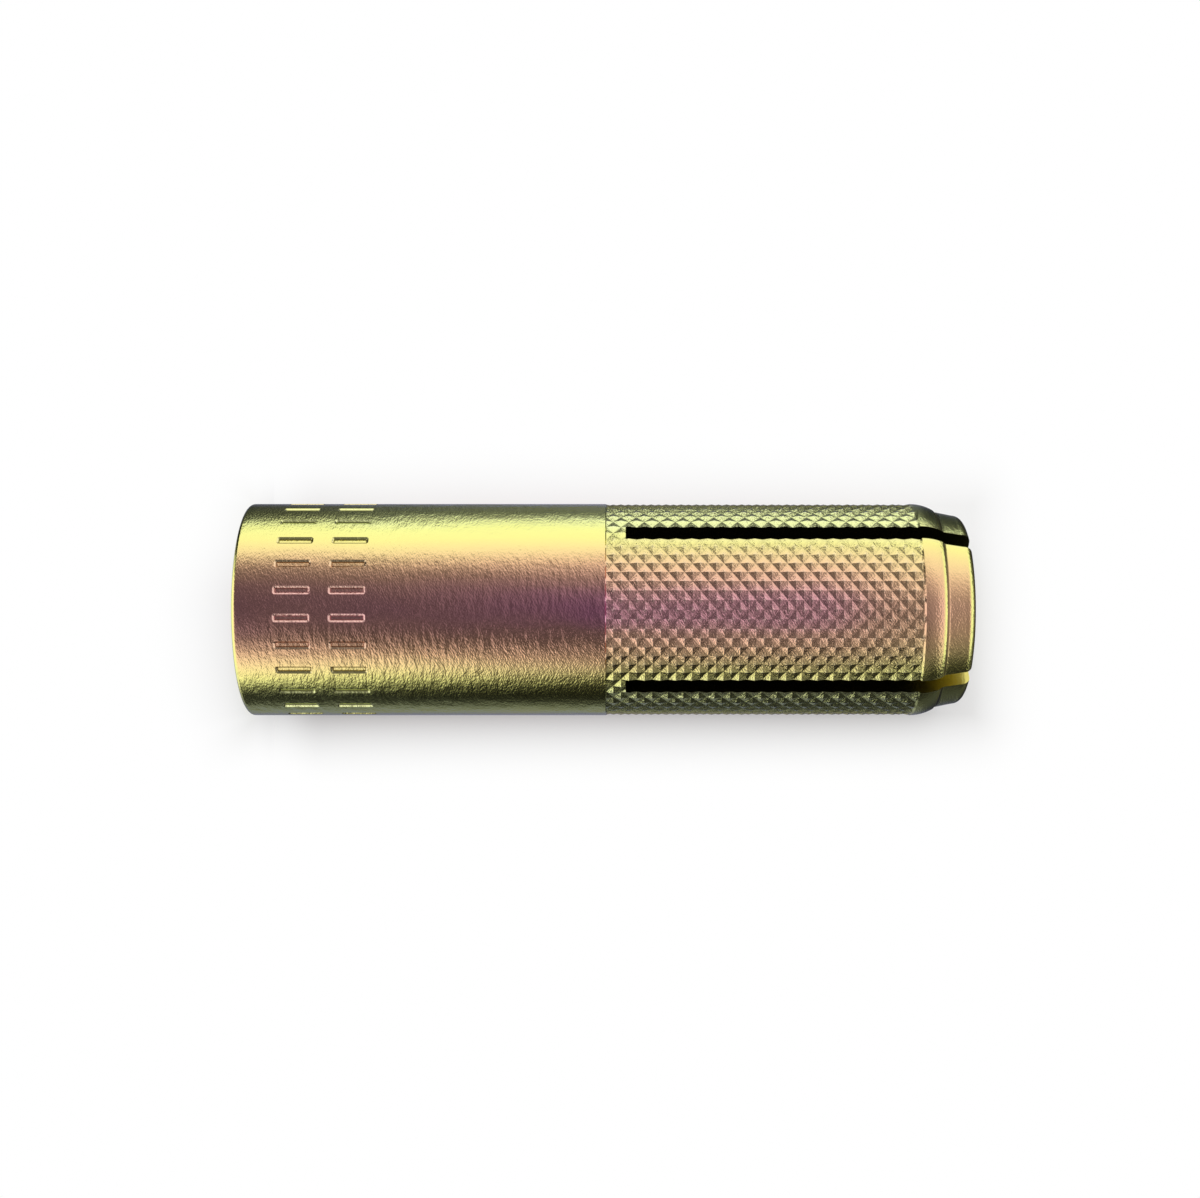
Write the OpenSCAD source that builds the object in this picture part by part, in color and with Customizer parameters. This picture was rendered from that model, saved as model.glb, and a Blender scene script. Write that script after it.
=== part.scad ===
// Drop-in anchor for concrete: a slotted, knurled steel sleeve with an inside thread at its rim,
// and the expander plug that is driven towards the nose to spread the four leaves.
// The sleeve stands on its rim, its axis is Z and the origin is the centre of the rim face.

/* [Sleeve] */
// Outside diameter of the sleeve
body_d = 12.4; // [11.6:0.1:14]
// Overall length, from the rim to the end of the nose
body_len = 41.5; // [39:0.5:48]
// Rounding of the rim's outer edge
rim_round = 0.25; // [0.1:0.05:0.5]

/* [Thread and bore] */
// Diameter of the tapped hole at the thread's crests
thread_d = 7.94; // [7.8:0.02:8.4]
// Depth of the tapped hole from the rim
thread_depth = 16; // [12:0.5:18]
// Depth of the countersink at the mouth, cut at 45 degrees
mouth_depth = 0.8; // [0.4:0.1:1]
// Diameter of the smooth bore that holds the plug
bore_d = 7.5; // [7:0.05:7.6]
// Distance from the rim to the start of the setting taper
taper_start = 27.5; // [26:0.5:30]
// Diameter of the hole at the end of the taper
exit_d = 5.2; // [4.6:0.1:5.8]
// Length of that hole, measured back from the end of the nose
exit_len = 2; // [1:0.25:4]
// Edge break at the end of that hole
exit_chamfer = 0.2; // [0.1:0.05:0.4]

/* [Dashes] */
// Number of dashes in one ring
dash_count = 25; // [12:1:30]
// Number of rings of dashes
dash_rings = 2; // [1:1:3]
// Length of a dash along the sleeve
dash_len = 2.07; // [1:0.05:3]
// Width of a dash round the sleeve
dash_w = 0.48; // [0.3:0.02:0.8]
// Depth of a dash
dash_depth = 0.14; // [0.08:0.02:0.3]
// Distance from the rim to the first ring
dash_start = 2.3; // [1.5:0.1:4]
// Distance between two rings
dash_gap = 1.02; // [0.5:0.05:2]
// Turn of the first dash about the axis, from the front of the sleeve
dash_turn = 4.3; // [0:0.1:14]

/* [Knurl] */
// Distance from the rim to the start of the knurl
knurl_start = 20.8; // [18:0.2:24]
// Number of diamonds round the sleeve
knurl_count = 36; // [24:2:48]
// Length of one diamond along the sleeve
knurl_pitch = 0.88; // [0.8:0.02:1.4]
// Distance from the start of the knurl to its first whole row of points
knurl_lead = 0.39; // [0.1:0.01:0.4]
// Depth of the grooves between the diamonds
knurl_depth = 0.1; // [0.08:0.02:0.3]
// How far the crests lie below the sleeve's surface, so that the sleeve still enters its hole
knurl_relief = 0.02; // [0.01:0.01:0.1]

/* [Slots] */
// Width of a saw cut
slot_w = 0.98; // [0.6:0.02:1.4]
// Length of the slots, measured back from the end of the nose
slot_len = 19.6; // [14:0.2:22]
// Number of saw cuts across the nose, each of which makes two slots
slot_cuts = 2; // [1:1:3]
// Turn of the first saw cut about the axis
slot_turn = 45; // [0:5:90]

/* [Nose] */
// Length of the plain band after the knurl
land_len = 0.1; // [0.1:0.05:0.8]
// Length of the rounded shoulder
shoulder_len = 1.2; // [0.8:0.05:2]
// How far the shoulder falls from the sleeve's surface
shoulder_drop = 0.31; // [0.2:0.01:0.6]
// Height of the step at the foot of the shoulder
step_drop = 0.16; // [0.1:0.02:0.4]
// Length of the step along the sleeve
step_len = 0.2; // [0.1:0.02:0.4]
// Length of the nose ring after the step
nose_len = 1.55; // [1:0.05:2]
// How far the nose ring falls towards its end
nose_drop = 0.2; // [0.1:0.02:0.4]
// Rounding of the nose's end
nose_round = 0.55; // [0.1:0.05:0.6]

/* [Plug] */
// Length of the expander plug
plug_len = 10; // [8:0.5:10]
// Length of its straight part
plug_straight = 4; // [3:0.25:5]
// Clearance between the plug and the smooth bore, on the radius
plug_clear = 0.05; // [0.03:0.01:0.08]
// Distance from the end of the tapped hole to the plug's flat end, before setting
plug_gap = 1.2; // [0.5:0.1:1.5]
// Edge break at both ends of the plug
plug_chamfer = 0.3; // [0.1:0.05:0.6]

/* [Hidden] */
$fn = 96;
arc_steps = 6;
over = 1;

body_r = body_d / 2;
thread_r = thread_d / 2;
bore_r = bore_d / 2;
exit_r = exit_d / 2;
mouth_r = thread_r + mouth_depth;

// heights of the nose's parts, from the end back to the knurl
nose_z = body_len - nose_len;
step_z = nose_z - step_len;
shoulder_z = step_z - shoulder_len;
knurl_end = shoulder_z - land_len;
shoulder_r = body_r - shoulder_drop;
nose_r = shoulder_r - step_drop;
tip_r = nose_r - nose_drop;

// the shoulder is an arc that leaves the sleeve's surface without a crease
shoulder_arc_r = (shoulder_len * shoulder_len + shoulder_drop * shoulder_drop) / (2 * shoulder_drop);
shoulder_arc_angle = asin(shoulder_len / shoulder_arc_r);

// the knurl is a ring of pyramids on a core that is turned a little smaller
crest_r = body_r - knurl_relief;
valley_r = crest_r - knurl_depth;
knurl_core_r = valley_r - knurl_depth;
knurl_ring_r = knurl_core_r - knurl_depth;
knurl_rows = round((knurl_end - knurl_start) / knurl_pitch);
half_pitch = (knurl_end - knurl_start) / (2 * knurl_rows);

taper_slope = (bore_r - exit_r) / (body_len - exit_len - taper_start);
plug_r = bore_r - plug_clear;
plug_tip_r = plug_r - taper_slope * (plug_len - plug_straight);
plug_z = thread_depth + plug_gap;
slot_root = body_len - slot_len;

// points of an arc about a centre [radius, height], from one angle to another
function arc(centre, r, from, to) = [
    for (i = [0:arc_steps])
        let (a = from + (to - from) * i / arc_steps)
        [centre[0] + r * cos(a), centre[1] + r * sin(a)]
];

// half section of the sleeve without knurl and dashes, as [radius, height]
function sleeve_section() = concat(
    [[mouth_r, 0]],
    arc([body_r - rim_round, rim_round], rim_round, -90, 0),
    [
        [body_r, knurl_start],
        [knurl_core_r, knurl_start],
        [knurl_core_r, knurl_end],
        [body_r, knurl_end]
    ],
    arc([body_r - shoulder_arc_r, shoulder_z], shoulder_arc_r, 0, shoulder_arc_angle),
    [[nose_r, nose_z]],
    arc([tip_r - nose_round, body_len - nose_round], nose_round, 0, 90),
    [
        [exit_r + exit_chamfer, body_len],
        [exit_r, body_len - exit_chamfer],
        [exit_r, body_len - exit_len],
        [bore_r, taper_start],
        [bore_r, thread_depth],
        [thread_r, thread_depth],
        [thread_r, mouth_depth]
    ]
);

// ring of pyramids: on a grid of half pitches the corners are crests and groove crossings by turns,
// and each cell is folded along its groove; both ends run into the plain sleeve
module knurl_ring() {
    cols = 2 * knurl_count;
    rows = 2 * knurl_rows + 2;
    inner_low = cols * (rows + 1);
    inner_high = inner_low + cols;
    function height(j) = knurl_start + knurl_lead + (j - 2) * half_pitch;
    function around(r, i, z) = [r * cos(360 * i / cols), r * sin(360 * i / cols), z];
    function is_valley(i, j) = (i + j) % 2 == 1;
    function outer(i, j) = j * cols + i % cols;
    outer_points = [
        for (j = [0:rows], i = [0:cols - 1])
            around(is_valley(i, j) ? valley_r : crest_r, i, height(j))
    ];
    inner_points = [
        for (j = [0, rows], i = [0:cols - 1])
            around(knurl_ring_r, i, height(j))
    ];
    outer_faces = [
        for (j = [0:rows - 1], i = [0:cols - 1])
            let (a = outer(i, j), b = outer(i + 1, j), c = outer(i + 1, j + 1), d = outer(i, j + 1))
            for (face = is_valley(i, j) ? [[a, c, b], [a, d, c]] : [[a, d, b], [b, d, c]])
                face
    ];
    inner_faces = [
        for (i = [0:cols - 1])
            let (
                p = inner_low + i,
                q = inner_low + (i + 1) % cols,
                s = inner_high + i,
                t = inner_high + (i + 1) % cols
            )
            for (face = [
                [p, q, t],
                [p, t, s],
                [p, outer(i, 0), outer(i + 1, 0)],
                [p, outer(i + 1, 0), q],
                [s, outer(i + 1, rows), outer(i, rows)],
                [s, t, outer(i + 1, rows)]
            ])
                face
    ];
    polyhedron(points = concat(outer_points, inner_points), faces = concat(outer_faces, inner_faces));
}

// one ring of stamped dashes, as cutters
module dash_cuts(z) {
    for (i = [0:dash_count - 1])
        rotate([0, 0, dash_turn - 90 + i * 360 / dash_count])
            translate([body_r - dash_depth, -dash_w / 2, z])
                cube([dash_depth + over, dash_w, dash_len]);
}

// turned sleeve with its dashes, before the knurl is added
module turned_sleeve() {
    difference() {
        rotate_extrude()
            polygon(sleeve_section());
        for (k = [0:dash_rings - 1])
            dash_cuts(dash_start + k * (dash_len + dash_gap));
    }
}

// saw cuts right across the nose, as cutters
module slot_saw_cuts() {
    for (k = [0:slot_cuts - 1])
        rotate([0, 0, slot_turn + k * 180 / slot_cuts])
            translate([-body_d, -slot_w / 2, slot_root])
                cube([2 * body_d, slot_w, slot_len + over]);
}

// slotted sleeve in one piece
module anchor_sleeve() {
    color([0.80, 0.66, 0.36])
        difference() {
            union() {
                turned_sleeve();
                knurl_ring();
            }
            slot_saw_cuts();
        }
}

// loose wedge in the smooth bore, its cone at the slope of the setting taper
module expander_plug() {
    color([0.62, 0.62, 0.64])
        translate([0, 0, plug_z])
            rotate_extrude()
                polygon([
                    [0, 0],
                    [plug_r - plug_chamfer, 0],
                    [plug_r, plug_chamfer],
                    [plug_r, plug_straight],
                    [plug_tip_r, plug_len - plug_chamfer],
                    [plug_tip_r - plug_chamfer, plug_len],
                    [0, plug_len]
                ]);
}

anchor_sleeve();
expander_plug();
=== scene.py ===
"""Drop-in anchor: a yellow zinc sleeve with dashes, knurl, saw slots and inside thread, and its steel wedge.

Shapes are worked out in millimetres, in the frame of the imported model, and become metres when a mesh is made.
"""
import math

import bpy
import numpy as np
from mathutils import Matrix, Vector


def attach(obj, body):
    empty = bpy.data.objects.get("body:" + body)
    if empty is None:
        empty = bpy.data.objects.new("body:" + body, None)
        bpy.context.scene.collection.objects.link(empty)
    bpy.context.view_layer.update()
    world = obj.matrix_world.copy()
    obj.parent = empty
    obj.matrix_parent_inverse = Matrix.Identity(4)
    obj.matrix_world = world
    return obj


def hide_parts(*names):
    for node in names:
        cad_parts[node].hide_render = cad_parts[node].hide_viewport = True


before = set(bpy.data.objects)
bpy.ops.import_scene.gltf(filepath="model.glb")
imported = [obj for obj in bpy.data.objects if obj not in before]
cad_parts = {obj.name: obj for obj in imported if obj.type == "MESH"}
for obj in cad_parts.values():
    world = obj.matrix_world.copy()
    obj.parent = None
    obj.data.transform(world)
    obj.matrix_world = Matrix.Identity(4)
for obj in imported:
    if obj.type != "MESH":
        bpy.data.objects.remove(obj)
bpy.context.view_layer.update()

MM = 0.001

# sleeve
BODY_R = 6.2
BODY_LEN = 41.5
RIM_ROUND = 0.25

# thread; its flanks end at these shares of the pitch from the middle of the root
THREAD_R = 3.97
THREAD_ROOT_R = 4.76
THREAD_PITCH = 1.5875
THREAD_DEPTH = 16.0
THREAD_COLS = 36
FLANK_AT_ROOT = 0.0625
FLANK_AT_CREST = 0.375
FADE_START = 13.2
FADE_END = 15.9
MOUTH_R = 4.77

# bore; each quarter has cells across one leaf and across the cut next to it
BORE_R = 3.75
TAPER_START = 27.5
EXIT_R = 2.6
EXIT_LEN = 2.0
EXIT_CHAMFER = 0.2
LEAF_CELLS = 12
CUT_CELLS = 4
QUARTER_CELLS = LEAF_CELLS + CUT_CELLS

# stamped dashes; the wall takes a share of the depth and the foot takes the rest
DASH_COUNT = 25
DASH_LEN = 2.07
DASH_W = 0.48
DASH_DEPTH = 0.14
DASH_START = 2.3
DASH_STEP = 3.09
DASH_TURN = 4.3
DASH_CORNER = 0.15
DASH_WALL = 0.12
DASH_FOOT = 0.03
DASH_WALL_SHARE = 0.62

# knurl; the sleeve falls to it over a short slope
KNURL_START = 20.8
KNURL_END = 38.45
KNURL_COUNT = 36
KNURL_ROWS = 20
KNURL_PITCH = (KNURL_END - KNURL_START) / KNURL_ROWS
KNURL_LEAD = 0.39
KNURL_DEPTH = 0.1
KNURL_RELIEF = 0.02
KNURL_SLOPE = 0.06
KNURL_CELLS = 4

# saw slots
SLOT_HALF = 0.49
SLOT_ROOT = 21.9
SLOT_COUNT = 4

# nose
SHOULDER_Z = 38.55
STEP_Z = 39.75
NOSE_Z = 39.95
SHOULDER_R = 5.89
NOSE_R = 5.73
TIP_R = 5.53
NOSE_ROUND = 0.55

# plug, with a shallow lathe centre in each end
PLUG_R = 3.70
PLUG_TIP_R = 3.125
PLUG_Z = 17.2
PLUG_LEN = 10.0
PLUG_STRAIGHT = 4.0
PLUG_CHAMFER = 0.3
CENTRE_R = 0.75
CENTRE_FLOOR_R = 0.6
CENTRE_DEPTH = 0.12

# stage
TENT_R = 250
TENT_LOW = -230
TENT_TOP = 450
PAPER_FADE = 4.6
PAPER_Y = 6.5
PAPER_HALF = 12
PAPER_TOP = 49
FLOOR_Z = -0.02
FLOOR_REACH = 24

# camera, in metres and in pixels of the photograph
CAMERA_AWAY = 0.10441
CAMERA_ALONG = 0.021477
PHOTO_W = 1200
OFF_CENTRE = -18.3, 10.6

# colours of the chromate film from thin to thick: the first stop, the last one, then those between
FILM_COLOURS = [
    (0.0, (0.80, 0.36, 0.44)),
    (1.0, (0.90, 0.97, 0.42)),
    (0.09, (0.86, 0.42, 0.40)),
    (0.2, (0.92, 0.50, 0.36)),
    (0.36, (0.95, 0.58, 0.33)),
    (0.54, (0.96, 0.71, 0.32)),
    (0.76, (0.97, 0.90, 0.30)),
    (0.9, (0.95, 0.96, 0.32)),
]
# how much violet lies over the film, by share of the sleeve's length, in the same order
VIOLET_BELT = [(0.294, 0.0), (1.0, 0.08), (0.482, 0.62), (0.53, 0.4), (0.64, 0.32), (0.8, 0.2)]
VIOLET = (0.72, 0.25, 0.49, 1)
# painted shade laid into recesses through the groove mark
PAINTED_RECESS_SHADE = (0.16, 0.12, 0.05, 1)
# pale wear on points, also used for painted highlights
PALE_WEAR_AND_HIGHLIGHT = (0.95, 0.86, 0.66, 1)
# painted shade and painted light for the saw-cut walls
PAINTED_SLOT_SHADE = (0.11, 0.10, 0.03, 1)
PAINTED_SLOT_LIGHT = (0.88, 0.78, 0.22, 1)


def ease(low, high, x):
    """0 below low, 1 above high, and 3t^2 - 2t^3 of the way t between."""
    t = np.clip((x - low) / (high - low), 0, 1)
    return t * t * (3 - 2 * t)


class Skin:
    """One closed skin, gathered as grids of points. Rows follow the wall, up the outside, in over the nose,
    down the bore and out over the rim; columns go round the axis. In that order every triangle faces
    outwards."""

    # groove carries painted shade in recesses; crest carries pale wear on points and painted highlights on
    # edges and lips
    MARKS = "groove", "crest", "edge"

    def __init__(self):
        self.points, self.marks, self.faces, self.flat, self.size = [], [], [], [], 0

    def lay(self, r, turn, z, groove=0.0, crest=0.0, edge=0.0):
        """Points (r cos turn, r sin turn, z) with their marks: painted shade in recesses, pale wear on points
        with painted highlights on edges and lips, and rounded edges; gives back their numbers."""
        r, turn, z, *marks = np.broadcast_arrays(r, turn, z, groove, crest, edge)
        numbers = self.size + np.arange(r.size).reshape(r.shape)
        self.points.append(np.stack((r * np.cos(turn), r * np.sin(turn), z), -1).reshape(-1, 3))
        self.marks.append(np.stack(marks, -1).reshape(-1, len(self.MARKS)))
        self.size += r.size
        return numbers

    def add(self, triangles, flat=False):
        """Triangles as rows of three point numbers; flat ones keep a straight face next to smooth ones."""
        self.faces.append(triangles)
        self.flat.append(np.broadcast_to(flat, len(triangles)))

    def cover(self, grid, rising=True, keep=True, flat=False):
        """Two triangles to each cell of a grid that closes round the axis, cut from its first corner to the
        opposite one where rising is true and along the other diagonal where it isn't."""
        a, d = grid[:-1], grid[1:]
        b, c = np.roll(a, -1, 1), np.roll(d, -1, 1)
        rising, keep, flat = (np.broadcast_to(mask, a.shape) for mask in (rising, keep, flat))
        first = np.where(rising[..., None], np.stack((a, b, c), -1), np.stack((a, b, d), -1))
        second = np.where(rising[..., None], np.stack((a, c, d), -1), np.stack((b, c, d), -1))
        self.add(first[keep], flat[keep])
        self.add(second[keep], flat[keep])

    def zip(self, a, along_a, b, along_b):
        """Triangles between two rows with any number of points: their steps are sorted by the middle of each
        step, and each step makes a triangle with the point that the other row has reached."""
        step_a, step_b = (along_a[1:] + along_a[:-1]) / 2, (along_b[1:] + along_b[:-1]) / 2
        on_a = np.argsort(np.concatenate((step_a, step_b)), kind="stable") < len(step_a)
        i, j = np.cumsum(on_a) - on_a, np.cumsum(~on_a) - ~on_a
        far = np.where(on_a, a[np.minimum(i + 1, len(a) - 1)], b[np.minimum(j + 1, len(b) - 1)])
        self.add(np.stack((a[i], far, b[j]), -1))

    def zip_round(self, a, turn_a, b, turn_b):
        """The same between two closed rings, the second one started at its point nearest to the first's
        start."""
        apart = np.abs((turn_b - turn_a[0] + math.pi) % math.tau - math.pi)
        first = int(np.argmin(apart))
        b, turn_b = np.roll(b, -first), np.roll(turn_b, -first)
        turn_b = np.unwrap(np.append(turn_b, turn_b[0] + math.tau))
        turn_b += math.tau * np.round((turn_a[0] - turn_b[0]) / math.tau)
        self.zip(np.append(a, a[0]), np.append(turn_a, turn_a[0] + math.tau), np.append(b, b[0]), turn_b)

    def make(self, name, sharp_deg):
        """A mesh of the points that the triangles use, smooth except where faces meet at more than
        sharp_deg."""
        faces = np.concatenate(self.faces)
        used, faces = np.unique(faces, return_inverse=True)
        faces = faces.reshape(-1, 3)
        points = np.concatenate(self.points)[used] * MM
        mesh = bpy.data.meshes.new(name)
        mesh.vertices.add(len(points))
        mesh.vertices.foreach_set("co", points.ravel())
        mesh.loops.add(faces.size)
        mesh.loops.foreach_set("vertex_index", faces.ravel())
        mesh.polygons.add(len(faces))
        mesh.polygons.foreach_set("loop_start", np.arange(0, faces.size, 3))
        for mark, values in zip(self.MARKS, np.concatenate(self.marks)[used].T):
            layer = mesh.attributes.new(mark, "FLOAT", "POINT")
            layer.data.foreach_set("value", np.ascontiguousarray(values))
        mesh.update(calc_edges=True)
        mesh.validate()
        mesh.shade_smooth()
        mesh.set_sharp_from_angle(angle=math.radians(sharp_deg))
        mesh.polygons.foreach_set("use_smooth", ~np.concatenate(self.flat))
        piece = bpy.data.objects.new(name, mesh)
        bpy.context.scene.collection.objects.link(piece)
        return piece


def dash_band(skin):
    """Rim rounding and the two rings of dashes. The rounding is a quarter circle. A dash sinks the surface
    by the distance inside the outline of a round-cornered rectangle: evenly across its wall, then steeper
    across the foot, down to a level floor. The foot gets painted shade through the recess mark and the upper
    wall a painted highlight line."""
    arc = np.linspace(-math.pi / 2, 0, 8)
    round_r = BODY_R - RIM_ROUND + RIM_ROUND * np.cos(arc)
    round_z = RIM_ROUND + RIM_ROUND * np.sin(arc)
    ends = np.array([-0.03, 0, 0.03, 0.06, 0.09, 0.12, 0.15, 0.5])
    ring = np.concatenate((ends, [DASH_LEN / 2], DASH_LEN - ends[::-1]))
    starts = DASH_START, DASH_START + DASH_STEP
    z = np.concatenate((round_z, [0.6, 1.4, 2.0], starts[0] + ring, [4.9], starts[1] + ring, [7.9, 8.2]))
    r = np.concatenate((round_r, np.full(len(z) - len(round_r), BODY_R)))
    rounded = np.concatenate((np.minimum(-2 * np.sin(arc), 1), np.zeros(len(z) - len(arc))))
    half_gap = math.pi * BODY_R / DASH_COUNT
    sides = np.array([0.05, 0.09, 0.12, 0.15, 0.18, 0.21, 0.24, 0.3, 0.52])
    across = np.concatenate((-sides[::-1], [0], sides, [half_gap]))
    centre = np.radians(DASH_TURN - 90 + 360 / DASH_COUNT * np.arange(DASH_COUNT))
    turn = (centre[:, None] + across / BODY_R).ravel()
    off = np.abs(np.tile(across, DASH_COUNT))
    sink = np.zeros((len(z), len(turn)))
    for start in starts:
        out_z = np.abs(z - start - DASH_LEN / 2)[:, None] - (DASH_LEN / 2 - DASH_CORNER)
        out_x = (off - (DASH_W / 2 - DASH_CORNER))[None, :]
        inside = np.minimum(np.maximum(out_z, out_x), 0)
        apart = np.hypot(np.maximum(out_z, 0), np.maximum(out_x, 0)) + inside - DASH_CORNER
        sink += np.interp(apart, [-DASH_WALL - DASH_FOOT, -DASH_WALL, 0], [1, DASH_WALL_SHARE, 0])
    # painted shade at the foot of each dash and a painted highlight line along its upper wall
    painted_foot_shade = np.interp(sink, [0, 0.4, DASH_WALL_SHARE, 0.85, 1], [0, 0.1, 0.9, 0.5, 0.25])
    painted_lip_highlight = np.interp(sink, [0, 0.15, 0.35, 0.5], [0, 1.5, 1.5, 0])
    grid = skin.lay(r[:, None] - DASH_DEPTH * sink, turn, z[:, None], painted_foot_shade, painted_lip_highlight, rounded[:, None])
    corners = np.stack((sink[:-1], sink[1:], np.roll(sink[:-1], -1, 1), np.roll(sink[1:], -1, 1)))
    skin.cover(grid, flat=np.ptp(corners, 0) > 1e-6)
    return grid, turn


def knurl_height(turn, z):
    """Height of the pyramids from 0 in the grooves to 1 at the points: the lower of two triangle waves that
    run round the sleeve at opposite slants."""
    u, v = turn * KNURL_COUNT / math.tau, (z - KNURL_START - KNURL_LEAD) / KNURL_PITCH + 0.5
    wave_p, wave_q = (np.abs((w + 0.5) % 1 - 0.5) * 2 for w in (u + v, u - v))
    return np.minimum(wave_p, wave_q)


def knurl_and_nose(skin):
    """Plain band, knurl, shoulder, step, nose ring and its rounding, on columns that fall on the points and
    grooves of the knurl. Columns between those lie on the chord, at cos(step) of the radius, so that each
    side of a pyramid is flat. The columns at the saw cuts lie in the cut's flat wall: their angle from its
    middle is asin(half width / radius)."""
    cols = KNURL_COUNT * KNURL_CELLS
    step = math.tau / cols
    j = np.arange(KNURL_CELLS * KNURL_ROWS + 2)
    knurl_z = KNURL_START + KNURL_LEAD + (j / KNURL_CELLS - 0.5) * KNURL_PITCH
    knurl_z = np.clip(knurl_z, KNURL_START, KNURL_END)
    plain_z = np.array([8.6, 9.5, 12, 15, 18, 20.2, KNURL_START - KNURL_SLOPE])
    drop, length = BODY_R - SHOULDER_R, STEP_Z - SHOULDER_Z
    arc_r = (length ** 2 + drop ** 2) / (2 * drop)
    bend = math.asin(length / arc_r) * np.array([0, 0.15, 0.3, 0.45, 0.6, 0.72, 0.82, 0.9, 0.95, 1])
    step_r = [SHOULDER_R - 0.04, SHOULDER_R - 0.09, NOSE_R + 0.025, NOSE_R]
    step_z = [STEP_Z + 0.03, STEP_Z + 0.09, NOSE_Z - 0.05, NOSE_Z]
    ring_r = [NOSE_R - 0.014, NOSE_R - 0.03, TIP_R + 0.02]
    ring_z = [NOSE_Z + 0.07, NOSE_Z + 0.15, NOSE_Z + 0.9]
    tip = np.linspace(0, math.pi / 2, 11)
    tip_r = TIP_R - NOSE_ROUND + NOSE_ROUND * np.cos(tip)
    tip_z = BODY_LEN - NOSE_ROUND + NOSE_ROUND * np.sin(tip)
    straight_r = np.full(len(plain_z) + len(knurl_z), BODY_R)
    base = np.concatenate((straight_r, BODY_R - arc_r + arc_r * np.cos(bend), step_r, ring_r, tip_r))[:, None]
    rows_z = np.concatenate((plain_z, knurl_z, SHOULDER_Z + arc_r * np.sin(bend), step_z, ring_z, tip_z))
    row = np.arange(len(rows_z)) - len(plain_z)
    knurled = ((row >= 0) & (row < len(knurl_z)))[:, None]
    i = np.arange(cols)
    per_slot, side = cols // SLOT_COUNT, KNURL_CELLS // 2
    from_slot = i % per_slot - per_slot // 2
    root = int(np.argmin(np.abs(rows_z - SLOT_ROOT)))
    z = np.repeat(rows_z[:, None], cols, 1)
    z[root, np.abs(from_slot) <= side] = SLOT_ROOT
    sawn = np.arange(len(rows_z)) >= root
    edge = (np.abs(from_slot) == side) & sawn[:, None]
    turn = np.broadcast_to(step * i, z.shape)
    chord = np.where(i % 2 == 1, math.cos(step), 1)
    # the cut's wall moves its columns and with them the knurl's height there, so it is worked out twice
    for _ in range(2):
        height = knurl_height(turn, z)
        r = np.where(knurled, (BODY_R - KNURL_RELIEF - KNURL_DEPTH * (1 - height)) * chord, base)
        wall = step * (i - from_slot) + np.sign(from_slot) * np.arcsin(SLOT_HALF / r)
        turn = np.where(edge, wall, step * i)
    # painted shade: a thin dark line in the corner of the step, and darker knurl grooves, both through the
    # groove mark
    corner = np.interp(rows_z, [STEP_Z + 0.01, STEP_Z + 0.04, STEP_Z + 0.14, NOSE_Z], [0, 1, 1, 0])[:, None]
    groove = np.where(knurled, 0.42 * (1 - height), corner)
    # pale wear on the knurl points, and a painted highlight line along the saw-cut edges
    crest = np.maximum(knurled * ease(0.6, 1.0, height), 0.6 * edge)
    shoulder_edge = [STEP_Z - 0.17, STEP_Z - 0.08, STEP_Z, STEP_Z + 0.03]
    tip_edge = [BODY_LEN - 0.4, BODY_LEN - 0.3, BODY_LEN - 0.14, BODY_LEN - 0.06]
    rounded = np.interp(rows_z, shoulder_edge + tip_edge, [0, 1, 1, 0] * 2)[:, None]
    grid = skin.lay(r, turn, z, groove, crest, rounded)
    folded = (i // side + row[:-1, None] // side) % 2 == 0
    in_slot = (from_slot >= -side) & (from_slot < side)
    skin.cover(grid, rising=folded, keep=~(in_slot & sawn[:-1, None]), flat=knurled[:-1] & knurled[1:])
    return grid, turn, rows_z


def bore(skin):
    """Chamfer, exit hole, setting taper and smooth bore, from the nose down: a radius for each height,
    carried round the axis. Each quarter has cells across its leaf between two cut walls, at asin(half width
    / radius) from the middle of the cut, and cells across the cut below its root."""
    z = np.concatenate((
        [BODY_LEN, BODY_LEN - EXIT_CHAMFER, BODY_LEN - 1.1],
        np.linspace(BODY_LEN - EXIT_LEN, TAPER_START, 9),
        [25.0, SLOT_ROOT, 19.0, THREAD_DEPTH]))
    r = np.interp(-z, [-BODY_LEN, -BODY_LEN + EXIT_CHAMFER, -BODY_LEN + EXIT_LEN, -TAPER_START, 0],
                  [EXIT_R + EXIT_CHAMFER, EXIT_R, EXIT_R, BORE_R, BORE_R])
    half = np.arcsin(SLOT_HALF / r)[:, None]
    leaf = half + (math.pi / 2 - 2 * half) * np.linspace(0, 1, LEAF_CELLS + 1)
    cut = math.pi / 2 + half * np.linspace(-1, 1, CUT_CELLS + 1)[1:-1]
    quarter = np.concatenate((leaf, cut), 1)
    turn = np.concatenate([quarter + math.pi / 4 + k * math.pi / 2 for k in range(SLOT_COUNT)], 1)
    # painted shade: the whole bore is marked as a recess, which darkens its colour
    grid = skin.lay(r[:, None], turn, z[:, None], groove=0.5)
    sawn = z[1:] >= SLOT_ROOT - 1e-9
    in_slot = np.arange(turn.shape[1]) % QUARTER_CELLS >= LEAF_CELLS
    skin.cover(grid, keep=~(in_slot & sawn[:, None]))
    return grid, turn, z


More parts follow.
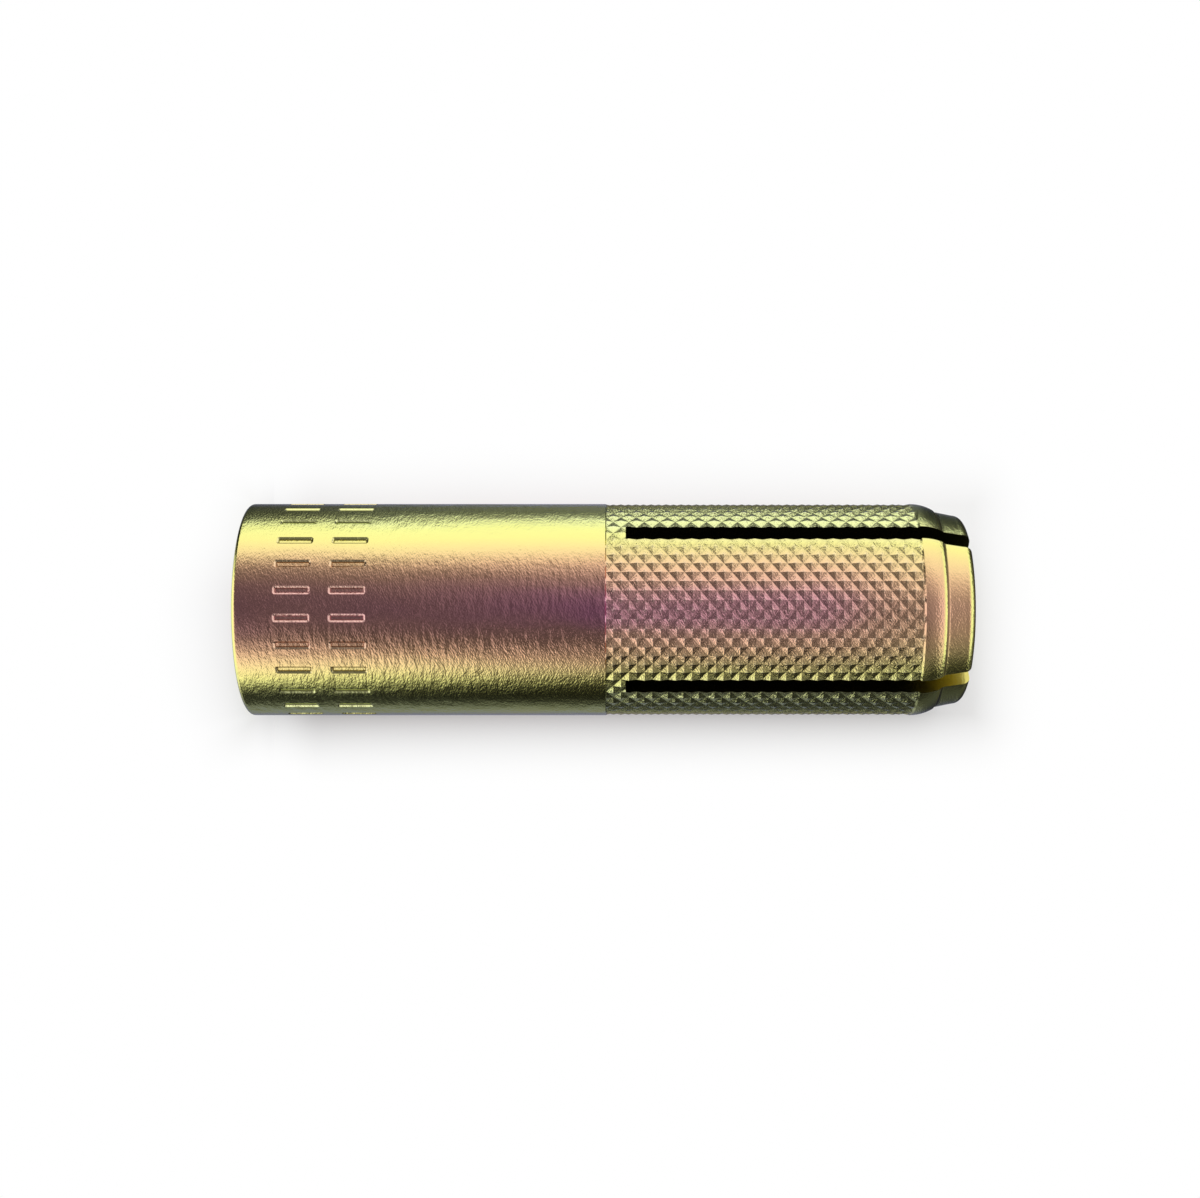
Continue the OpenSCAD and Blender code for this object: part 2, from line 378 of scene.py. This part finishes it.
def thread(skin):
    """Inside thread, from its end down to the mouth. The radius depends on height / pitch - turn / full
    circle: a flat crest, two straight flanks and a flat root, fading out at depth and cut off by the 45
    degree mouth. Rows and columns divide the pitch and the circle alike, so the helix follows the cells'
    diagonals."""
    z = np.append(np.arange(0, THREAD_DEPTH, THREAD_PITCH / THREAD_COLS), THREAD_DEPTH)[::-1, None]
    turn = math.tau / THREAD_COLS * np.arange(THREAD_COLS)
    from_root = np.abs((z / THREAD_PITCH - turn / math.tau) % 1 - 0.5)
    deep = np.clip((FLANK_AT_CREST - from_root) / (FLANK_AT_CREST - FLANK_AT_ROOT), 0, 1)
    deep *= 1 - ease(FADE_START, FADE_END, z)
    r = np.maximum(THREAD_R + (THREAD_ROOT_R - THREAD_R) * deep, MOUTH_R - z)
    # painted shade: the thread is marked as a recess, darker towards its roots
    grid = skin.lay(r, turn, z, groove=0.35 + 0.4 * deep)
    skin.cover(grid, rising=False)
    return grid, turn


def anchor_sleeve():
    """The whole sleeve as one closed skin: the bands above, zipped where their columns differ, with the flat
    walls and roots of the saw cuts and the end faces of the four leaves."""
    skin = Skin()
    low, low_turn = dash_band(skin)
    high, high_turn, high_z = knurl_and_nose(skin)
    inner, inner_turn, inner_z = bore(skin)
    tapped, tapped_turn = thread(skin)
    skin.zip_round(low[-1], low_turn, high[0], high_turn[0])
    skin.zip_round(inner[-1], inner_turn[-1], tapped[0], tapped_turn)
    skin.zip_round(tapped[-1], tapped_turn, low[0], low_turn)
    cols, side = high.shape[1], KNURL_CELLS // 2
    quarter = cols // SLOT_COUNT
    root = int(np.argmin(np.abs(high_z - SLOT_ROOT)))
    inner_root = int(np.argmin(np.abs(inner_z - SLOT_ROOT)))
    up_z, down = high_z[root:], slice(inner_root, None, -1)
    for k in range(SLOT_COUNT):
        middle, inner_start = k * quarter + quarter // 2, k * QUARTER_CELLS
        leaf = np.arange(middle + side, middle + quarter - side + 1) % cols
        leaf_in = inner_start + np.arange(LEAF_CELLS + 1)
        skin.zip(high[-1, leaf], np.unwrap(high_turn[-1, leaf]), inner[0, leaf_in], inner_turn[0, leaf_in])
        slot = np.arange(middle - side, middle + side + 1) % cols
        slot_in = np.arange(inner_start - CUT_CELLS, inner_start + 1) % inner.shape[1]
        share, share_in = np.linspace(0, 1, len(slot)), np.linspace(0, 1, len(slot_in))
        skin.zip(high[root, slot], share, inner[inner_root, slot_in], share_in)
        skin.zip(high[root:, slot[-1]], up_z, inner[down, slot_in[-1]], inner_z[down])
        skin.zip(inner[down, slot_in[0]], inner_z[down], high[root:, slot[0]], up_z)
    return skin.make("sleeve", sharp_deg=38)


def wedge_plug():
    """Turned wedge: a profile of radius and height carried round the axis, closed by a point at each end."""
    z0, z1 = PLUG_Z, PLUG_Z + PLUG_LEN
    centres = np.array([z0 + CENTRE_DEPTH, z1 - CENTRE_DEPTH])
    r, z = np.array([
        (CENTRE_FLOOR_R, centres[0]),
        (CENTRE_R, z0),
        (PLUG_R - PLUG_CHAMFER, z0),
        (PLUG_R, z0 + PLUG_CHAMFER),
        (PLUG_R, z0 + PLUG_STRAIGHT),
        (PLUG_TIP_R, z1 - PLUG_CHAMFER),
        (PLUG_TIP_R - PLUG_CHAMFER, z1),
        (CENTRE_R, z1),
        (CENTRE_FLOOR_R, centres[1])]).T
    turn = np.linspace(0, math.tau, 96, endpoint=False)
    skin = Skin()
    grid = skin.lay(r[:, None], turn, z[:, None])
    skin.cover(grid)
    ends = skin.lay(np.zeros(2), 0.0, centres)
    around = np.append(turn, math.tau)
    skin.zip(np.full(1, ends[0]), np.zeros(1), np.append(grid[0], grid[0, 0]), around)
    skin.zip(np.append(grid[-1], grid[-1, 0]), around, np.full(1, ends[1]), np.zeros(1))
    return skin.make("plug", sharp_deg=30)


def greys(stops):
    """Stops of a colour ramp from pairs of place and grey level."""
    return [(place, (level,) * 3) for place, level in stops]


class Tree:
    """Short way to add nodes: each call makes one node, sets its inputs and gives it or its result back."""

    def __init__(self, tree):
        self.tree = tree
        tree.nodes.clear()

    def add(self, kind, inputs=None, **settings):
        made = self.tree.nodes.new(kind)
        for name, value in settings.items():
            setattr(made, name, value)
        for name, value in (inputs or {}).items():
            if isinstance(value, bpy.types.NodeSocket):
                self.tree.links.new(value, made.inputs[name])
            else:
                made.inputs[name].default_value = value
        return made

    def attribute(self, name):
        return self.add("ShaderNodeAttribute", attribute_name=name).outputs["Fac"]

    def math(self, operation, *values, clamp=False):
        inputs = dict(enumerate(values))
        return self.add("ShaderNodeMath", inputs, operation=operation, use_clamp=clamp).outputs[0]

    def vector(self, operation, *values):
        """Vector arithmetic; a dot product comes out as a number."""
        outputs = self.add("ShaderNodeVectorMath", dict(enumerate(values)), operation=operation).outputs
        return outputs["Value" if operation == "DOT_PRODUCT" else "Vector"]

    def ramp(self, factor, stops, interpolation="LINEAR"):
        made = self.add("ShaderNodeValToRGB", {"Fac": factor})
        elements = made.color_ramp.elements
        made.color_ramp.interpolation = interpolation
        for k, (place, colour) in enumerate(stops):
            element = elements[k] if k < 2 else elements.new(place)
            element.position = place
            element.color = (*colour, 1)
        return made.outputs["Color"]

    def mix(self, factor, first, second):
        inputs = {0: factor, 6: first, 7: second}
        return self.add("ShaderNodeMix", inputs, data_type="RGBA").outputs[2]

    def noise(self, vector, scale, detail=2.0, roughness=0.5):
        inputs = {"Vector": vector, "Scale": scale, "Detail": detail, "Roughness": roughness}
        return self.add("ShaderNodeTexNoise", inputs).outputs["Fac"]

    def stretched(self, vector, scale, turn=(0, 0, 0)):
        """Coordinates on which a pattern comes out scale times longer, along axes that are turned."""
        inputs = {"Vector": vector, "Scale": scale, "Rotation": turn}
        return self.add("ShaderNodeMapping", inputs, vector_type="TEXTURE").outputs["Vector"]

    def span(self, value, low, high, first=0.0, last=1.0):
        """first below low, last above high, and an even S-curve between."""
        inputs = {"Value": value, 1: low, 2: high, 3: first, 4: last}
        return self.add("ShaderNodeMapRange", inputs, interpolation_type="SMOOTHSTEP").outputs[0]


def handling_marks():
    """Node group: short crossing rub marks, fine grain and a soft ripple as a height, for any of the
    metals."""
    group = bpy.data.node_groups.new("handling_marks", "ShaderNodeTree")
    group.interface.new_socket("Vector", in_out="INPUT", socket_type="NodeSocketVector")
    group.interface.new_socket("Ripple", in_out="INPUT", socket_type="NodeSocketFloat")
    group.interface.new_socket("Height", in_out="OUTPUT", socket_type="NodeSocketFloat")
    t = Tree(group)
    given = t.add("NodeGroupInput").outputs
    place = given["Vector"]
    rubs = [t.noise(t.stretched(place, (2.8, 2.8, 1), (0, lean, 0)), 13000, 1) for lean in (0.5, -0.5)]
    grain = t.math("MULTIPLY", t.noise(place, 11000, 1), 0.4)
    ripple = t.math("MULTIPLY", t.noise(t.stretched(place, (2.5, 2.5, 1)), 2600, 2), given["Ripple"])
    t.add("NodeGroupOutput", {"Height": t.math("ADD", t.math("ADD", ripple, grain), t.math("ADD", *rubs))})
    return group


def zinc_material(marks):
    """Yellow chromate on zinc: violet, rose, tan, yellow and green film colours in soft bands along the
    sleeve, three times round it and broken up by clouds, rougher and with painted shade in the recesses,
    with painted shade and a painted pool of light on the saw-cut walls, pale wear on the knurl points and
    painted highlights on edges and dash lips."""
    material = bpy.data.materials.new("yellow_zinc")
    material.use_nodes = True
    t = Tree(material.node_tree)
    place = t.add("ShaderNodeTexCoord").outputs["Object"]
    axes = t.add("ShaderNodeSeparateXYZ", {"Vector": place}).outputs
    height = axes["Z"]
    groove, crest, edge = (t.attribute(mark) for mark in Skin.MARKS)

    # clouds on the direction from the axis, stretched along the sleeve
    unit = t.vector("NORMALIZE", t.vector("MULTIPLY", place, (1, 1, 0)))
    along = t.add("ShaderNodeCombineXYZ", {"Z": t.math("MULTIPLY", height, 55)}).outputs[0]
    cloud = t.noise(t.vector("ADD", unit, along), 1.6, 4, 0.55)

    # film thickness: (1 - cos 3a) / 2 of the angle a from the front, with cos 3a = c (4 c^2 - 3)
    front = t.vector("DOT_PRODUCT", unit, (0, -1, 0))
    cubic = t.math("MULTIPLY", front, t.math("SUBTRACT", t.math("MULTIPLY", t.math("POWER", front, 2), 4), 3))
    lobe = t.math("MULTIPLY_ADD", cubic, -0.5, 0.5)
    towards_nose = t.span(height, 0.032, 0.042, 0, 0.32)
    towards_rim = t.span(height, 0.018, 0.006, 0, 0.07)
    thicker = t.math("ADD", towards_nose, towards_rim)
    lobe = t.math("MULTIPLY_ADD", t.math("SUBTRACT", 1, lobe), thicker, lobe)
    film = t.math("MULTIPLY_ADD", t.math("SUBTRACT", cloud, 0.5), 0.22, lobe, clamp=True)
    film = t.math("MULTIPLY_ADD", edge, t.math("SUBTRACT", 0.86, film), film)

    # film colours, a violet belt where the film is thinnest, painted shade in recesses, pale wear and painted
    # highlights
    before, after = (KNURL_START - 0.1) * MM, (KNURL_START + 0.1) * MM
    short_of_end = t.span(height, (KNURL_END + 0.15) * MM, (KNURL_END - 0.05) * MM)
    knurl = t.math("MULTIPLY", t.span(height, before, after), short_of_end)
    colour = t.ramp(t.math("MULTIPLY_ADD", knurl, 0.07, film), FILM_COLOURS)
    belt = t.ramp(t.math("MULTIPLY", height, 1 / (BODY_LEN * MM)), greys(VIOLET_BELT))
    thinnest = t.math("SUBTRACT", 1, t.math("MULTIPLY", film, 9), clamp=True)
    colour = t.mix(t.math("MULTIPLY", belt, thinnest), colour, VIOLET)
    # painted shade: the groove mark darkens knurl grooves, dash feet, the step corner, the bore and the thread
    recess_shading = t.add("ShaderNodeMapRange", {"Value": groove, 1: 0.3, 2: 1.0, 4: 0.9}).outputs[0]
    colour = t.mix(recess_shading, colour, PAINTED_RECESS_SHADE)
    # pale wear on the knurl points, and painted highlights: lines on the saw-cut edges and dash lips, and a
    # pale sheen over the whole knurl
    wear_and_highlight = t.math("MULTIPLY_ADD", crest, 0.2, t.math("MULTIPLY", knurl, 0.08))
    colour = t.mix(wear_and_highlight, colour, PALE_WEAR_AND_HIGHLIGHT)

    # walls of the saw cuts, by the distance from the middle planes of both cuts: painted shade, with a painted
    # pool of light on the +X side near the nose
    diagonal = 0.7071
    planes = [(diagonal, diagonal, 0), (diagonal, -diagonal, 0)]
    off_cuts = [t.math("ABSOLUTE", t.vector("DOT_PRODUCT", place, plane)) for plane in planes]
    off_cut = t.math("MINIMUM", *off_cuts)
    beside, on_wall = (SLOT_HALF + 0.03) * MM, (SLOT_HALF + 0.002) * MM
    cut = t.add("ShaderNodeMapRange", {"Value": off_cut, 1: beside, 2: on_wall}).outputs[0]
    sawn = t.math("MULTIPLY", cut, t.math("GREATER_THAN", height, (SLOT_ROOT - 0.01) * MM))
    # painted pool of light on the saw-cut walls on the +X side towards the nose
    slot_light_side = t.math("MULTIPLY", t.span(height, 0.0375, 0.0413), t.span(axes["X"], -0.001, 0.001))
    colour = t.mix(sawn, colour, t.mix(slot_light_side, PAINTED_SLOT_SHADE, PAINTED_SLOT_LIGHT))

    # marks: ripple on the plain band only, more grain on the knurl, less on the two end faces
    ripple = t.math("MULTIPLY", t.span(cloud, 0.38, 0.62, 1.0, 4.0), t.span(height, after, before))
    worn = t.add("ShaderNodeGroup", {"Vector": place, "Ripple": ripple}, node_tree=marks).outputs["Height"]
    on_nose, on_rim = t.span(height, 0.0412, 0.0414, 1, 0.35), t.span(height, 0.0002, 0.0001, 1, 0.35)
    faced = t.math("MULTIPLY", on_nose, on_rim)
    worn = t.math("MULTIPLY", worn, t.math("MULTIPLY", t.math("MULTIPLY_ADD", knurl, 0.7, 1), faced))
    bump = t.add("ShaderNodeBump", {"Height": worn, "Strength": 0.3, "Distance": 0.00005})
    clouded = t.math("MULTIPLY_ADD", cloud, 0.12, 0.12)
    rough = t.math("MULTIPLY_ADD", t.math("MAXIMUM", groove, sawn), 0.15, clouded)
    shader = t.add("ShaderNodeBsdfPrincipled", {
        "Base Color": colour, "Metallic": 1.0, "Roughness": rough, "Normal": bump.outputs["Normal"],
        "Specular Tint": (0.32, 0.35, 0.66, 1)})
    t.add("ShaderNodeOutputMaterial", {"Surface": shader.outputs["BSDF"]})
    return material


def steel_material(marks):
    """Bare turned steel: grey with fine rings from the lathe and a few darker patches of oil."""
    material = bpy.data.materials.new("turned_steel")
    material.use_nodes = True
    t = Tree(material.node_tree)
    place = t.add("ShaderNodeTexCoord").outputs["Object"]
    rings = t.noise(t.stretched(place, (50, 50, 1)), 9000, 2)
    oil = t.noise(place, 420, 3)
    colour = t.mix(t.math("MULTIPLY", oil, 0.6), (0.66, 0.66, 0.67, 1), (0.50, 0.49, 0.47, 1))
    worn = t.add("ShaderNodeGroup", {"Vector": place, "Ripple": 0.5}, node_tree=marks).outputs["Height"]
    relief = t.math("MULTIPLY_ADD", rings, 1.5, worn)
    bump = t.add("ShaderNodeBump", {"Height": relief, "Strength": 0.25, "Distance": 0.00005})
    shader = t.add("ShaderNodeBsdfPrincipled", {
        "Base Color": colour, "Metallic": 1.0, "Roughness": t.math("MULTIPLY_ADD", oil, 0.15, 0.24),
        "Normal": bump.outputs["Normal"]})
    t.add("ShaderNodeOutputMaterial", {"Surface": shader.outputs["BSDF"]})
    return material


def seen_directly(t):
    """1 for what the camera, a reflection or a refraction sees, 0 for light that reaches other surfaces."""
    path = t.add("ShaderNodeLightPath").outputs
    mirrored = t.math("ADD", path["Is Glossy Ray"], path["Is Transmission Ray"])
    return t.math("ADD", path["Is Camera Ray"], mirrored, clamp=True)


def paper_material():
    """White paper that keeps the anchor's shadow and turns to plain white away from it; clear from
    behind."""
    material = bpy.data.materials.new("white_paper")
    material.use_nodes = True
    t = Tree(material.node_tree)
    seen = seen_directly(t)
    lit = t.add("ShaderNodeBsdfDiffuse", {"Color": (0.45, 0.45, 0.45, 1)}).outputs[0]
    glow = t.add("ShaderNodeEmission", {"Strength": t.math("MULTIPLY", seen, 0.36)}).outputs[0]
    near = t.add("ShaderNodeAddShader", {0: lit, 1: glow}).outputs[0]
    plain = t.add("ShaderNodeEmission", {"Strength": seen}).outputs[0]
    paper = t.add("ShaderNodeMixShader", {0: t.attribute("away"), 1: near, 2: plain}).outputs[0]
    clear = t.add("ShaderNodeBsdfTransparent").outputs[0]
    behind = t.add("ShaderNodeNewGeometry").outputs["Backfacing"]
    one_sided = t.add("ShaderNodeMixShader", {0: behind, 1: paper, 2: clear}).outputs[0]
    t.add("ShaderNodeOutputMaterial", {"Surface": one_sided})
    return material


def stage_sheet(name, points, material, away=None):
    """A grid of points as a sheet that belongs to the stage; its faces look to the side from which the rows,
    taken upwards, run to the right."""
    rows, cols = points.shape[:2]
    n = np.arange(rows * cols).reshape(rows, cols)
    faces = np.stack((n[:-1, :-1], n[:-1, 1:], n[1:, 1:], n[1:, :-1]), -1).reshape(-1, 4)
    mesh = bpy.data.meshes.new(name)
    mesh.from_pydata(points.reshape(-1, 3) * MM, [], faces)
    if away is not None:
        mesh.attributes.new("away", "FLOAT", "POINT").data.foreach_set("value", away.ravel())
    mesh.materials.append(material)
    sheet = bpy.data.objects.new(name, mesh)
    bpy.context.scene.collection.objects.link(sheet)
    return sheet


def light_tent():
    """Round tent of soft panels that the metal reflects: a white panel on the -X side, a dimmer one on the
    +X side, dark cloth between them. Strength is read from the angle round the axis, in degrees from the
    front, and changes with height; the roof and the ground have their own."""
    material = bpy.data.materials.new("tent_cloth")
    material.use_nodes = True
    t = Tree(material.node_tree)
    place = t.add("ShaderNodeTexCoord").outputs["Object"]
    axes = t.add("ShaderNodeSeparateXYZ", {"Vector": place}).outputs
    angle = t.math("ARCTAN2", axes["X"], t.math("MULTIPLY", axes["Y"], -1))
    share = t.math("MULTIPLY_ADD", angle, 1 / math.tau, 0.5)

    def panel(stops):
        return t.ramp(share, greys((deg / 360 + 0.5, level) for deg, level in stops), "EASE")

    behind = [(106, 0.005), (119, 0.045), (136, 0.3), (150, 0.52)]
    level = panel([
        (-180, 0.7), (180, 0.6), (-164, 0.7), (-148, 0.32), (-124, 0.14), (-107, 1.06), (-64, 1.09),
        (-50, 0.78), (-34, 0.34), (0, 0.21), (28, 0.09), (40, 0.09), (62, 0.27), (84, 0.02)] + behind)
    rim_side = panel([
        (-180, 0.6), (180, 0.6), (-164, 0.55), (-148, 0.16), (-119, 0.1), (-104, 1.06), (-64, 1.1),
        (-50, 0.42), (-38, 0.21), (-26, 0.13), (0, 0.07), (28, 0.06), (40, 0.18), (52, 0.68), (60, 1.15),
        (70, 1.15), (80, 0.5), (92, 0.06)] + behind)
    low = panel([
        (-180, 0.5), (180, 0.6), (-164, 0.36), (-148, 0.07), (-113, 0.05), (-98, 1.06), (-64, 1.05),
        (-50, 0.36), (-38, 0.18), (-26, 0.15), (-6, 0.13), (6, 0.16), (16, 0.21), (28, 0.36), (40, 0.58),
        (52, 0.94), (60, 1.15), (70, 1.15), (80, 0.92), (92, 0.22)] + behind)
    nose_side = panel([
        (-180, 0.06), (180, 0.06), (-150, 0.05), (-116, 0.04), (-101, 1.05), (-50, 1.04), (-32, 0.72),
        (-18, 0.42), (-4, 0.34), (30, 0.29), (46, 0.24), (58, 0.16), (72, 0.035), (90, 0.01), (136, 0.08)])
    high = t.math("MULTIPLY", t.span(axes["Z"], 0.25, 0.33), t.span(axes["Y"], 0.05, -0.05))
    roof = t.span(axes["Y"], 0.02, 0.08, 1.0, 0.12)
    ground = t.span(axes["X"], -0.13, -0.07, 0, 1.1)
    glow = t.mix(t.span(axes["Z"], 0.015, -0.03), level, rim_side)
    glow = t.mix(t.span(axes["Z"], -0.03, -0.055), glow, low)
    glow = t.mix(t.span(axes["Z"], 0.06, 0.125), glow, nose_side)
    glow = t.mix(high, glow, (0.95, 0.95, 0.95, 1))
    glow = t.mix(t.math("GREATER_THAN", axes["Z"], (TENT_TOP - 0.1) * MM), glow, roof)
    glow = t.mix(t.math("LESS_THAN", axes["Z"], (TENT_LOW + 0.1) * MM), glow, ground)
    t.add("ShaderNodeOutputMaterial", {"Surface": t.add("ShaderNodeEmission", {"Color": glow}).outputs[0]})

    # a cylinder whose first and last rows are drawn in to the axis
    turn = np.linspace(math.pi, -math.pi, 97)
    z = np.concatenate(([TENT_LOW], np.linspace(TENT_LOW, TENT_TOP, 9), [TENT_TOP]))[:, None]
    r = np.where(np.arange(len(z)) % (len(z) - 1) == 0, 0.1, TENT_R)[:, None]
    points = np.stack(np.broadcast_arrays(r * np.sin(turn), -r * np.cos(turn), z), -1)
    stage_sheet("tent", points, material).visible_camera = False


def whiteness(apart):
    """0 next to the anchor and 1 at the end of the fade, as 1 - (1 - share of the way)^2."""
    return 1 - np.maximum(1 - apart / PAPER_FADE, 0) ** 2


def papers():
    """A flat sheet that stands behind the anchor and a round floor. Both turn to plain white with the
    distance from the anchor's outline as it is seen from the front. Where they meet, that distance is the
    same on both: it starts larger at the rim, and larger again on the lamp's side."""
    paper = paper_material()

    def outside(x):
        return np.maximum(np.abs(x) - 6.5, 0)

    def at_rim(y):
        return 1.6 - 0.6 * ease(0, PAPER_Y, y)

    def lamp_side(x):
        return ease(0, 5, -x)

    x, z = np.meshgrid(np.linspace(-PAPER_HALF, PAPER_HALF, 97), np.linspace(FLOOR_Z, PAPER_TOP, 148))
    apart = np.hypot(outside(x), np.maximum(z - 43.6, 0))
    apart += at_rim(PAPER_Y) * (1 - ease(0, 3, z)) + lamp_side(x) * (1.1 - 0.7 * ease(0, 14, z))
    points = np.stack((x, np.full_like(x, PAPER_Y), z), -1)
    stage_sheet("paper", points, paper, whiteness(apart)).visible_glossy = False

    reach, turn = np.meshgrid(np.linspace(0.01, FLOOR_REACH, 121), np.linspace(0, math.tau, 145))
    x, y = reach * np.cos(turn), reach * np.sin(turn)
    forward = np.maximum(-y - np.sqrt(np.maximum(BODY_R ** 2 - x ** 2, 0)), 0) / 6
    behind = np.maximum(y - PAPER_Y, 0) / 3
    apart = np.sqrt(outside(x) ** 2 + forward ** 2 + behind ** 2) + at_rim(y) + 1.1 * lamp_side(x)
    points = np.stack((x, y, np.full_like(x, FLOOR_Z)), -1)
    stage_sheet("floor", points, paper, whiteness(apart)).visible_glossy = False


def softbox():
    """One round lamp in front of the anchor, on the -X side, aimed at the middle of its length."""
    lamp = bpy.data.lights.new("softbox", "AREA")
    lamp.shape = "DISK"
    lamp.size = 0.16
    lamp.energy = 0.36
    box = bpy.data.objects.new("softbox", lamp)
    box.location = (-0.07, -0.19, 0.02)
    box.rotation_euler = (Vector((0, 0, 0.02)) - box.location).to_track_quat("-Z", "Y").to_euler()
    box.visible_glossy = False
    bpy.context.scene.collection.objects.link(box)


def white_world():
    """World that is plain white where it is seen and a little dimmer where it lights."""
    world = bpy.data.worlds.new("white_world")
    world.use_nodes = True
    t = Tree(world.node_tree)
    strength = t.math("MULTIPLY_ADD", seen_directly(t), 0.3, 0.7)
    sky = t.add("ShaderNodeBackground", {"Color": (1, 1, 1, 1), "Strength": strength}).outputs[0]
    t.add("ShaderNodeOutputWorld", {"Surface": sky})
    bpy.context.scene.world = world


def camera():
    """Camera square to the axis, turned so that the nose points right as in the photograph."""
    lens = bpy.data.cameras.new("camera")
    lens.sensor_width = 36
    lens.lens = 53.25
    lens.shift_x, lens.shift_y = (pixels / PHOTO_W for pixels in OFF_CENTRE)
    lens.clip_start = 0.001
    lens.clip_end = 5
    view = bpy.data.objects.new("camera", lens)
    view.matrix_world = Matrix((
        (0, -1, 0, 0),
        (0, 0, -1, -CAMERA_AWAY),
        (1, 0, 0, CAMERA_ALONG),
        (0, 0, 0, 1)))
    bpy.context.scene.collection.objects.link(view)
    bpy.context.scene.camera = view


camera()
sleeve, plug = anchor_sleeve(), wedge_plug()
marks = handling_marks()
for piece, node, slot, material in (
        (sleeve, "anchor_sleeve", "yellow_zinc", zinc_material(marks)),
        (plug, "expander_plug", "plain_steel", steel_material(marks))):
    piece.data.materials.append(material)
    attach(piece, node)
    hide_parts(node)
papers()
light_tent()
softbox()
white_world()
bpy.context.scene.view_settings.view_transform = "Standard"
